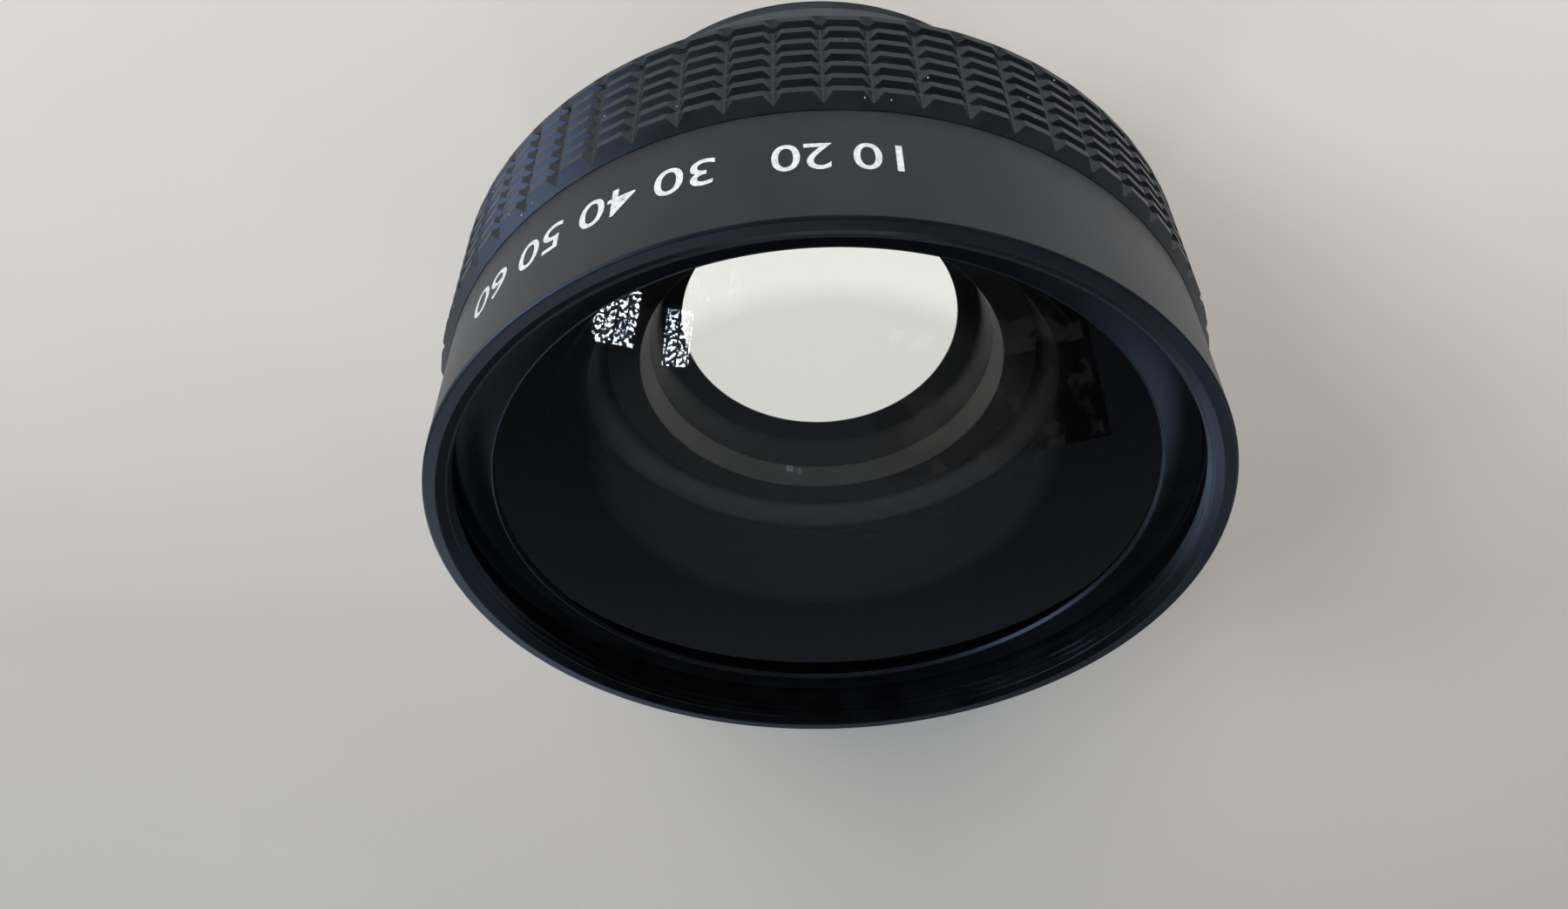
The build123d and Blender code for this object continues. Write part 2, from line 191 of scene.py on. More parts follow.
def dust(tree: Tree, place: Socket, cell_mm: float, speck_mm: float, share: float) -> Socket:
    """Gives 1 on a few scattered specks and 0 elsewhere.

    Args:
        tree: the node tree.
        place: the coordinates.
        cell_mm: mean distance between the places where a speck may lie.
        speck_mm: radius of a speck.
        share: share of the places that have one.

    Returns:
        The mask.
    """
    cells = add_node(tree, "TexVoronoi", Vector=place, Scale=1 / (cell_mm * MM)).outputs
    near = reckon(tree, "LESS_THAN", cells["Distance"], speck_mm / cell_mm)
    lot = add_node(tree, "SeparateColor", Color=cells["Color"]).outputs["Red"]
    return reckon(tree, "MULTIPLY", near, reckon(tree, "LESS_THAN", lot, share))


def axis_distance(tree: Tree, place: Socket) -> Socket:
    """Gives a point's distance from the optical axis."""
    flat = add_node(tree, "VectorMath", {"operation": "MULTIPLY"}, i0=place, i1=(1, 1, 0)).outputs["Vector"]
    return add_node(tree, "VectorMath", {"operation": "LENGTH"}, i0=flat).outputs["Value"]


# Finishes


@dataclass(frozen=True)
class Finish:
    """A finish that makes its own material."""

    name: str

    def shade(self, tree: Tree, place: Socket) -> Socket:
        """Gives the finish's shader from the Object coordinates."""
        raise NotImplementedError

    def make(self) -> Material:
        """Makes the material."""
        return new_material(self.name, self.shade)


@dataclass(frozen=True)
class TonedFinish(Finish):
    """A finish whose colour drifts between two tones in soft clouds."""

    low: str
    high: str
    cloud_mm: float = 0.5
    cloud_detail: float = 4.0
    blend: float = 0.15

    def cloud(self, tree: Tree, place: Socket) -> Socket:
        """Gives the noise of the clouds."""
        return noise(tree, self.cloud_mm, self.cloud_detail, place)

    def tones(self, tree: Tree, cloud: Socket) -> Socket:
        """Gives the colour: it changes while the noise is within blend of its middle."""
        return ramp(tree, cloud, self.low, self.high, 0.5 - self.blend, 0.5 + self.blend)


@dataclass(frozen=True)
class AnodisedSkin(TonedFinish):
    """Black anodised aluminium: a fine blasted grain that greys softly where it faces the light."""

    low: str = "#0c0e11"
    high: str = "#121519"
    cloud_mm: float = 6.0
    sheen: str = "#d2e2ff"
    rough_low: float = 0.36
    rough_high: float = 0.44
    grain_mm: float = 0.18
    grain_detail: float = 3.0
    bump_mm: float = 0.006
    bump_strength: float = 0.6

    def shade(self, tree: Tree, place: Socket) -> Socket:
        """Joins a cloudy colour, a mottled roughness and a blasted grain."""
        grain = noise(tree, self.grain_mm, self.grain_detail, place)
        return principled(
            tree,
            Base_Color=self.tones(tree, self.cloud(tree, place)),
            Roughness=spread(tree, grain, self.rough_low, self.rough_high),
            Normal=bump(tree, grain, self.bump_strength, self.bump_mm),
            Specular_Tint=linear(self.sheen),
        )


@dataclass(frozen=True)
class TurnedBlack(TonedFinish):
    """Blackened turned metal: very fine tool rings about the axis, which stretch each highlight."""

    low: str = "#07090c"
    high: str = "#0d0f13"
    cloud_mm: float = 4.0
    cloud_detail: float = 3.0
    rough: float = 0.36
    rough_swing: float = 0.06
    sheen: str = "#d2e2ff"
    gloss: float = 0.5
    groove_mm: float = 0.12
    groove_detail: float = 3.0
    bump_mm: float = 0.004
    bump_strength: float = 0.7

    def shade(self, tree: Tree, place: Socket) -> Socket:
        """Joins a cloudy colour with rings that follow the sum of radius and height."""
        height = add_node(tree, "SeparateXYZ", Vector=place).outputs["Z"]
        track = reckon(tree, "ADD", axis_distance(tree, place), height)
        scale = 1 / (self.groove_mm * MM)
        line = {"noise_dimensions": "1D"}
        rings = add_node(tree, "TexNoise", line, W=track, Scale=scale, Detail=self.groove_detail).outputs["Fac"]
        return principled(
            tree,
            Base_Color=self.tones(tree, self.cloud(tree, place)),
            Roughness=spread(tree, rings, self.rough - self.rough_swing, self.rough + self.rough_swing),
            Normal=bump(tree, rings, self.bump_strength, self.bump_mm),
            Specular_IOR_Level=self.gloss,
            Specular_Tint=linear(self.sheen),
        )


@dataclass(frozen=True)
class MouldedRubber(TonedFinish):
    """Moulded black rubber: dull, slightly dusty on the lands, with a fine cast grain."""

    low: str = "#090b0e"
    high: str = "#101317"
    cloud_mm: float = 3.0
    cloud_detail: float = 5.0
    blend: float = 0.2
    rough: float = 0.38
    rough_swing: float = 0.08
    sheen: str = "#cfe0ff"
    speck: str = "#8d8f93"
    speck_cell_mm: float = 1.1
    speck_mm: float = 0.075
    speck_share: float = 0.2
    grain_mm: float = 0.1
    grain_detail: float = 3.0
    bump_mm: float = 0.008
    bump_strength: float = 0.7

    def shade(self, tree: Tree, place: Socket) -> Socket:
        """Joins a cloudy colour with specks of dust, a cast grain and a soft sheen."""
        cloud = self.cloud(tree, place)
        grain = noise(tree, self.grain_mm, self.grain_detail, place)
        specks = dust(tree, place, self.speck_cell_mm, self.speck_mm, self.speck_share)
        colours = {"i6": self.tones(tree, cloud), "i7": linear(self.speck)}
        return principled(
            tree,
            Base_Color=add_node(tree, "Mix", {"data_type": "RGBA"}, i0=specks, **colours).outputs[2],
            Roughness=spread(tree, cloud, self.rough - self.rough_swing, self.rough + self.rough_swing),
            Normal=bump(tree, grain, self.bump_strength, self.bump_mm),
            Specular_Tint=linear(self.sheen),
        )


@dataclass(frozen=True)
class CoatedGlass(Finish):
    """Polished optical glass whose coating leaves a faint cool reflection, with lint, and where asked a whitish
    veil that is a painted reflection.
    """

    tint: str = "#fdfdfc"
    coating: str = "#7a7e85"
    index: float = 1.517
    speck: str = "#d8d9da"
    speck_cell_mm: float = 3.2
    speck_mm: float = 0.07
    speck_share: float = 0.0
    painted_veil: float = 0.0
    painted_veil_radius_mm: float = 24.0
    painted_veil_fade_mm: float = 2.5

    def shade(self, tree: Tree, place: Socket) -> Socket:
        """Joins clear glass with dull lint and with a painted reflection: a whitish veil that fades out at its
        radius.
        """
        clear = principled(
            tree,
            Base_Color=linear(self.tint),
            Roughness=0.0,
            IOR=self.index,
            Transmission_Weight=1.0,
            Specular_Tint=linear(self.coating),
        )
        specks = dust(tree, place, self.speck_cell_mm, self.speck_mm, self.speck_share)
        edge = self.painted_veil_radius_mm
        start, end = (edge - self.painted_veil_fade_mm) * MM, edge * MM
        # The veil is a painted reflection, strongest near the axis.
        veil = spread(tree, axis_distance(tree, place), self.painted_veil, 0.0, start, end)
        lint_and_painted_veil = add_node(tree, "BsdfDiffuse", Color=linear(self.speck)).outputs["BSDF"]
        return mix_shaders(tree, reckon(tree, "MAXIMUM", specks, veil), clear, lint_and_painted_veil)


@dataclass(frozen=True)
class PlainCoat(TonedFinish):
    """A plain skin with a fine uneven tone: paint, print, film, tape, rubber cord, steel or brass."""

    blend: float = 0.2
    rough: float = 0.6
    gloss: float = 0.5
    metallic: float = 0.0

    def shade(self, tree: Tree, place: Socket) -> Socket:
        """Joins the uneven colour with an even roughness."""
        colour = self.tones(tree, self.cloud(tree, place))
        gloss = {"Specular_IOR_Level": self.gloss, "Metallic": self.metallic}
        return principled(tree, Base_Color=colour, Roughness=self.rough, **gloss)


# Surfaces


class Bulge(Enum):
    """Whether a spherical face falls or rises from the axis outward."""

    FALLING = -1
    RISING = 1


def soften(points: Points, size: float, steps: int = 3, hold: float = 0.6, least: float = 0.3) -> Points:
    """Rounds the corners of a closed profile.

    Each corner that turns by more than least radians becomes a quadratic curve between two points
    at size from it, or 0.4 of the shorter side where that is less. Two points a little further out
    hold the flat sides flat.

    Args:
        points: rows of radius and height.
        size: how far from a corner the round begins.
        steps: spans of each round.
        hold: distance of the holding points past the round, as a share of size.
        least: the smallest turn, in radians, that is rounded.

    Returns:
        The longer profile.
    """
    before = np.roll(points, 1, axis=0) - points
    after = np.roll(points, -1, axis=0) - points
    before_length = np.linalg.norm(before, axis=1)
    after_length = np.linalg.norm(after, axis=1)
    lengths = np.maximum(before_length * after_length, 1e-12)
    turn = np.pi - np.arccos(np.clip((before * after).sum(1) / lengths, -1, 1))
    reach = np.minimum(size, 0.4 * np.minimum(before_length, after_length) / (1 + hold))
    reach = np.where(turn > least, reach, 0)[:, None]
    toward = before / np.maximum(before_length, 1e-12)[:, None]
    onward = after / np.maximum(after_length, 1e-12)[:, None]
    share = np.linspace(0, 1, steps + 1)[None, :, None]
    ends = points + toward * reach, points, points + onward * reach
    start, middle, end = (place[:, None] for place in ends)
    curve = (1 - share) ** 2 * start + 2 * share * (1 - share) * middle + share**2 * end
    first = (points + toward * reach * (1 + hold))[:, None]
    last = (points + onward * reach * (1 + hold))[:, None]
    rounded = np.concatenate((first, curve, last), axis=1).reshape(-1, 2)
    gap = np.linalg.norm(np.diff(rounded, axis=0, prepend=rounded[-1:]), axis=1)
    return rounded[gap > 1e-7]


def sag(curve: float, x: float | Points) -> float | Points:
    """Fall of a sphere of radius curve at x from its top: curve - sqrt(curve**2 - x**2)."""
    return curve - np.sqrt(curve**2 - x**2)


def arc(top: float, curve: float, half_width: float, count: int, bulge: Bulge = Bulge.FALLING) -> Points:
    """Section of a spherical face from the axis out: the height is top plus or minus the sag.

    Args:
        top: height on the axis.
        curve: radius of curvature.
        half_width: outermost radius.
        count: number of points.
        bulge: whether the face falls or rises outward.

    Returns:
        Rows of radius and height.
    """
    x = np.linspace(0, half_width, count)
    return np.stack((x, top + bulge.value * sag(curve, x)), axis=1)


def put(name: str, data: bpy.types.ID) -> Piece:
    """Makes an object of a mesh, lamp, camera or text and links it to the scene."""
    placed = bpy.data.objects.new(name, data)
    bpy.context.scene.collection.objects.link(placed)
    return placed


def make_mesh(name: str, vertices: Points, faces: list[Points], smooth: float) -> Piece:
    """Makes an object of a closed surface and turns its faces outward.

    The signed volume is a sixth of the sum of the triangles' triple products, and where it is
    negative all faces are reversed.

    Args:
        name: the object's name.
        vertices: rows of x, y and z in millimetres.
        faces: arrays of faces, each with three or four columns of vertex numbers.
        smooth: edges that turn by more than this, in radians, stay sharp.

    Returns:
        The object, linked to the scene.
    """
    triangles = np.concatenate([f[:, [0, k, k + 1]] for f in faces for k in range(1, f.shape[1] - 1)])
    a, b, c = (vertices[triangles[:, k]] for k in range(3))
    if np.einsum("ij,ij->i", a, np.cross(b, c)).sum() < 0:
        faces = [f[:, ::-1] for f in faces]
    mesh = bpy.data.meshes.new(name)
    mesh.from_pydata((vertices * MM).tolist(), [], [row for f in faces for row in f.tolist()])
    mesh.shade_smooth()
    mesh.set_sharp_from_angle(angle=smooth)
    mesh.update()
    return put(name, mesh)


def flat_sheet(name: str, width: float, height: float, material: Material) -> Piece:
    """Makes a flat rectangle about the origin, of a width and a height in metres, with its material."""
    x, y = width / 2, height / 2
    mesh = bpy.data.meshes.new(name)
    mesh.from_pydata([(-x, -y, 0), (x, -y, 0), (x, y, 0), (-x, y, 0)], [], [(0, 1, 2, 3)])
    mesh.materials.append(material)
    return put(name, mesh)


def lathe(name: str, profile: Points, segments: int, shape: Shape | None = None, smooth: float = 0.6) -> Piece:
    """Carries a profile round the axis.

    Point i, j of the grid is radius i times the cosine and the sine of angle j, at height i, where
    shape may change the radius. A profile whose ends lie on the axis closes in two poles, and any
    other closes on itself.

    Args:
        name: the object's name.
        profile: rows of radius and height, in millimetres.
        segments: number of equal angles round the axis.
        shape: takes grids of radius, height and angle, and gives the new radius.
        smooth: edges that turn by more than this, in radians, stay sharp.

    Returns:
        The object.
    """
    turn = np.arange(segments) * (2 * np.pi / segments)
    poles = profile[0, 0] < TINY and profile[-1, 0] < TINY
    rows = profile[1:-1] if poles else profile
    radius = np.repeat(rows[:, :1], segments, axis=1)
    height = np.repeat(rows[:, 1:], segments, axis=1)
    angle = np.repeat(turn[None, :], len(rows), axis=0)
    if shape:
        radius = shape(radius, height, angle)
    vertices = np.stack((radius * np.cos(angle), radius * np.sin(angle), height), axis=-1).reshape(-1, 3)
    number = np.arange(radius.size).reshape(radius.shape)
    beside = np.roll(number, -1, axis=1)
    after, after_beside = np.roll(number, -1, axis=0), np.roll(beside, -1, axis=0)
    walls = np.stack((number, beside, after_beside, after), axis=-1)
    if not poles:
        return make_mesh(name, vertices, [walls.reshape(-1, 4)], smooth)
    caps = [
        np.stack((np.full(segments, number.size), beside[0], number[0]), axis=1),
        np.stack((np.full(segments, number.size + 1), number[-1], beside[-1]), axis=1),
    ]
    vertices = np.concatenate((vertices, [[0, 0, profile[0, 1]], [0, 0, profile[-1, 1]]]))
    return make_mesh(name, vertices, [walls[:-1].reshape(-1, 4), *caps], smooth)


def dress(piece: Piece, slot: str, *materials: Material, nodes: tuple[str, ...] = ()) -> None:
    """Gives a new piece its body, materials and the nodes that it stands for.

    Args:
        piece: the new piece.
        slot: not used.
        materials: the materials, the first on every face.
        nodes: the solids that the piece replaces.
    """
    for material in materials:
        piece.data.materials.append(material)
    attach(piece, BODY)
    if nodes:
        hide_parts(*nodes)
    log.info("%s: %d faces", piece.name, len(piece.data.polygons))


def dress_node(frame: dict, node: str, material: Material) -> None:
    """Gives a solid that stays in view its finish.

    Args:
        frame: the loaded frame.
        node: the solid's node.
        material: its only material.
    """
    piece = frame["nodes"][node]
    piece.data.materials.clear()
    piece.data.materials.append(material)
    log.info("%s: dressed as packed", node)


def paint_faces(piece: Piece, choose: Callable[[Points, Points], Points]) -> None:
    """Gives each face one of its piece's materials.

    Args:
        piece: the piece.
        choose: takes the faces' centres, in millimetres, and normals, and gives material numbers.
    """
    polygons = piece.data.polygons
    centre, normal = np.empty(len(polygons) * 3), np.empty(len(polygons) * 3)
    polygons.foreach_get("center", centre)
    polygons.foreach_get("normal", normal)
    numbers = choose(centre.reshape(-1, 3) / MM, normal.reshape(-1, 3))
    polygons.foreach_set("material_index", numbers.astype(np.int32))


# Sub-assemblies


@dataclass(frozen=True)
class Stack:
    """Heights and radii that the sub-assemblies share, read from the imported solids."""

    front: float
    rim: float
    grip_low: float
    grip_high: float
    mount_top: float
    shoulder: float

    @classmethod
    def from_frame(cls) -> "Stack":
        """Measures the solids.

        Returns:
            The stack, in millimetres.
        """
        front_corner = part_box("front_barrel")[1]
        grip_low, grip_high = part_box("grip_ring")
        return cls(
            front=front_corner[2] / MM,
            rim=front_corner[0] / MM,
            grip_low=grip_low[2] / MM,
            grip_high=grip_high[2] / MM,
            mount_top=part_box("mount_ring")[1][2] / MM,
            shoulder=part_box("light_baffle")[1][2] / MM,
        )


@dataclass(frozen=True)
class Thread:
    """A fine thread cut into one straight wall of a profile."""

    radius: float
    low: float
    high: float
    datum: float
    fade: float
    rows: int
    pitch: float = 0.75
    depth: float = 0.4

    def on_wall(self, radius: Points) -> Points:
        """Tells which points lie on the thread's wall."""
        return np.abs(radius - self.radius) < TINY

    def refine(self, profile: Points) -> Points:
        """Puts close rows along the thread's wall.

        Args:
            profile: rows of radius and height.

        Returns:
            The profile with the wall's rows in place of its ends.
        """
        first, last = np.flatnonzero(self.on_wall(profile[:, 0]))[[0, -1]]
        wall = np.linspace(profile[first], profile[last], self.rows)
        return np.concatenate((profile[:first], wall, profile[last + 1 :]))

    def cut(self, radius: Points, height: Points, angle: Points) -> Points:
        """Cuts the thread.

        On the wall the radius falls by the depth times a triangle wave of the height over the pitch
        less the angle over a full turn, and the wave fades out at both ends.

        Args:
            radius: grid of radii.
            height: grid of heights.
            angle: grid of angles, in radians.

        Returns:
            The grid of new radii.
        """
        wave = np.abs(2 * (((height - self.datum) / self.pitch - angle / (2 * np.pi)) % 1) - 1)
        fade = np.clip(np.minimum(height - self.low, self.high - height) / self.fade, 0, 1)
        return np.where(self.on_wall(radius), radius - self.depth * wave * fade, radius)


@dataclass(frozen=True)
class FrontBarrel:
    """The turned front barrel: rim, filter thread, printed band and the skirt under the rubber."""

    stack: Stack
    chamfer: float = 0.2
    bevel_radius: float = 36.8
    thread_radius: float = 36.0
    bevel_depth: float = 0.55
    thread_end: float = 2.4
    thread_fade: float = 0.15
    thread_rows: int = 44
    relief_radius: float = 36.5
    relief_end: float = 4.8
    ring_bore: float = 35.85
    ring_seat: float = 9.15
    glass_bore: float = 32.9
    shoulder_depth: float = 16.83
    shoulder_radius: float = 28.2
    skirt_bore: float = 34.6
    seat_radius: float = 37.2
    split_rise: float = 1.6
    round_size: float = 0.07
    inward_share: float = 0.5
    segments: int = 512

    def profile(self) -> Points:
        """Section of the barrel, softened.

        Returns:
            Rows of radius and height.
        """
        s, top = self.stack, self.stack.front
        split = s.grip_low + self.split_rise
        outline = np.array(
            [
                (s.rim, s.grip_high),
                (s.rim, top - self.chamfer),
                (s.rim - self.chamfer, top),
                (self.bevel_radius, top),
                (self.thread_radius, top - self.bevel_depth),
                (self.thread_radius, top - self.thread_end),
                (self.relief_radius, top - self.thread_end),
                (self.relief_radius, top - self.relief_end),
                (self.ring_bore, top - self.relief_end),
                (self.ring_bore, top - self.ring_seat),
                (self.glass_bore, top - self.ring_seat),
                (self.glass_bore, top - self.shoulder_depth),
                (self.shoulder_radius, top - self.shoulder_depth),
                (self.shoulder_radius, s.shoulder),
                (self.skirt_bore, s.shoulder),
                (self.skirt_bore, split),
                (self.seat_radius, split),
                (self.seat_radius, s.grip_high),
            ]
        )
        return soften(outline, self.round_size)

    def inward(self, centre: Points, normal: Points) -> Points:
        """Tells which faces look at the axis.

        Args:
            centre: the faces' centres.
            normal: the faces' normals.

        Returns:
            True where the normal, taken along the radius, points inward by more than the share.
        """
        outward = (centre[:, :2] * normal[:, :2]).sum(axis=1)
        return outward < -self.inward_share * np.hypot(centre[:, 0], centre[:, 1])

    def build(self, skin: Material, inner: Material) -> None:
        """Builds the barrel.

        Args:
            skin: the finish of the outside and the rim.
            inner: a darker copy of the black on the faces that look at the axis, which is painted shade.
        """
        low, high = self.stack.front - self.thread_end, self.stack.front - self.bevel_depth
        thread = Thread(self.thread_radius, low, high, high, self.thread_fade, self.thread_rows)
        piece = lathe("front_barrel_turned", thread.refine(self.profile()), self.segments, thread.cut)
        dress(piece, "front_barrel_black", skin, inner, nodes=("front_barrel",))
        # The faces that look at the axis take the darker copy: painted shade inside the rim.
        paint_faces(piece, self.inward)


@dataclass(frozen=True)
class BandPrint:
    """Plain white numbers printed on the band."""

    stack: Stack
    cap_height: float = 3.4
    base_depth: float = 9.2
    raise_by: float = 0.012
    slice_mm: float = 0.35
    boldness: float = 0.004
    curve_steps: int = 6
    words: tuple[tuple[str, float, float], ...] = (
        ("0 5", -167.0, -155.0),
        ("10 20", -100.4, -85.2),
        ("30 40 50 60", -78.5, -39.3),
        ("70 80", -25.0, -9.8),
    )

    def flat_text(self, name: str, words: str) -> bpy.types.Mesh:
        """Makes a flat mesh of a text.

        Args:
            name: the name of the text's curve.
            words: the text.

        Returns:
            The mesh, in the plane of x and y.
        """
        curve = bpy.data.curves.new(name, "FONT")
        curve.body = words
        curve.size = 1.0
        curve.offset = self.boldness
        curve.resolution_u = self.curve_steps
        flat = put(name, curve)
        bpy.context.view_layer.update()
        mesh = bpy.data.meshes.new_from_object(flat)
        bpy.data.objects.remove(flat)
        return mesh

    def slice(self, mesh: bpy.types.Mesh, width: float) -> None:
        """Cuts a flat text into upright strips, so that it can bend round the band.

        Args:
            mesh: the text's mesh.
            width: the width in millimetres that it will have on the band.
        """
        work = bmesh.new()
        work.from_mesh(mesh)
        xs = [corner.co.x for corner in work.verts]
        for x in np.linspace(min(xs), max(xs), int(width / self.slice_mm) + 2)[1:-1]:
            whole = work.verts[:] + work.edges[:] + work.faces[:]
            bmesh.ops.bisect_plane(work, geom=whole, plane_co=(x, 0, 0), plane_no=(1, 0, 0), dist=TINY)
        bmesh.ops.triangulate(work, faces=work.faces[:])
        work.to_mesh(mesh)
        work.free()

    def number(self, name: str, words: str, start: float, end: float) -> Piece:
        """Makes one row of numbers as a mesh wrapped on the band.

        A point of the flat text goes to the angle start plus its share of the width times the
        span, to the base height plus its own, and to the band's radius plus a hair.

        Args:
            name: the object's name.
            words: the numbers.
            start: angle in degrees where the row begins, on the left of a reader.
            end: angle in degrees where it ends.

        Returns:
            The object.
        """
        mesh = self.flat_text(name, words)
        self.slice(mesh, math.radians(end - start) * self.stack.rim)
        where = np.empty(len(mesh.vertices) * 3)
        mesh.vertices.foreach_get("co", where)
        where = where.reshape(-1, 3)
        low, high = where.min(axis=0), where.max(axis=0)
        share = (where - low) / np.maximum(high - low, TINY)
        angle = np.radians(start + (end - start) * share[:, 0])
        height = self.stack.front - self.base_depth + self.cap_height * share[:, 1]
        radius = self.stack.rim + self.raise_by
        wrapped = np.stack((radius * np.cos(angle), radius * np.sin(angle), height), axis=1) * MM
        mesh.vertices.foreach_set("co", wrapped.ravel())
        mesh.update()
        return put(name, mesh)

    def build(self, ink: Material) -> None:
        """Builds every row of numbers."""
        for place, (words, start, end) in enumerate(self.words, start=1):
            dress(self.number(f"band_numbers_{place}", words, start, end), "front_barrel_black", ink)


@dataclass(frozen=True)
class FrontGlass:
    """The front element, its retaining ring and the thin ridge round the glass."""

    stack: Stack
    vertex_depth: float = 3.85
    thickness: float = 5.0
    front_curve: float = 1500.0
    rear_curve: float = 55.0
    clear_radius: float = 28.2
    edge_radius: float = 32.8
    bevel: float = 0.25
    flat_gap: float = 0.15
    face_rows: int = 18
    hollow_rows: int = 26
    glass_smooth: float = 0.3
    behind: float = 0.2
    ring_radius: float = 35.8
    ring_depth: float = 4.35
    ring_length: float = 4.65
    ring_play: float = 0.1
    lip_radius: float = 32.05
    ridge_bevel: float = 0.15
    ridge_width: float = 0.15
    ridge_depth: float = 3.75
    cove_sag: float = 0.16
    cove_rows: int = 16
    round_size: float = 0.05
    segments: int = 512

    def element_profile(self) -> Points:
        """Section of the element from the front pole to the rear pole.

        Returns:
            Rows of radius and height.
        """
        vertex = self.stack.front - self.vertex_depth
        face = arc(vertex, self.front_curve, self.edge_radius - self.bevel, self.face_rows)
        hollow = arc(vertex - self.thickness, self.rear_curve, self.clear_radius, self.hollow_rows)
        back = hollow[-1, 1]
        edge = [
            (self.edge_radius, face[-1, 1] - self.bevel),
            (self.edge_radius, back + self.bevel),
            (self.edge_radius - self.bevel, back),
            (self.clear_radius + self.flat_gap, back),
        ]
        return np.concatenate((face, edge, hollow[::-1]))

    def part_of_element(self, centre: Points, normal: Points) -> Points:
        """Sorts the element's faces.

        Args:
            centre: the faces' centres.
            normal: the faces' normals.

        Returns:
            0 on the front face, 1 on the edge and the flat ring behind, 2 on the hollow.
        """
        outside = np.hypot(centre[:, 0], centre[:, 1]) > self.clear_radius
        return np.where(normal[:, 2] < self.behind, np.where(outside, 1, 2), 0)

    def ring_profile(self) -> Points:
        """Section of the retaining ring: a hollow face that rises to a thin ridge at the glass.

        The hollow face is a straight line from the ridge to the ring's edge less a parabola whose
        depth at mid width is the cove's sag.

        Returns:
            Rows of radius and height.
        """
        top = self.stack.front
        ridge = self.lip_radius + self.ridge_bevel
        inner, outer = ridge + self.ridge_width, self.ring_radius
        high, low = top - self.ridge_depth, top - self.ring_depth
        share = np.linspace(0, 1, self.cove_rows)
        line, dip = high + (low - high) * share, self.cove_sag * 4 * share * (1 - share)
        cove = np.stack((inner + (outer - inner) * share, line - dip), axis=1)
        floor = top - self.vertex_depth - sag(self.front_curve, self.lip_radius)
        rest = [
            (outer, low - self.ring_length),
            (self.edge_radius + self.ring_play, low - self.ring_length),
            (self.edge_radius + self.ring_play, floor),
            (self.lip_radius, floor),
            (ridge, high),
        ]
        return soften(np.concatenate((cove, rest)), self.round_size)

    def build(self, turned: Material, *glasses: Material) -> None:
        """Builds the element and its ring.

        Args:
            turned: the ring's finish.
            glasses: the element's finishes: front face, paint and hollow.
        """
        name = "front_element_polished"
        element = lathe(name, self.element_profile(), self.segments, smooth=self.glass_smooth)
        dress(element, "front_glass", *glasses, nodes=("front_element",))
        paint_faces(element, self.part_of_element)
        ring = lathe("front_ring_turned", self.ring_profile(), self.segments)
        dress(ring, "ring_black", turned, nodes=("front_retaining_ring",))


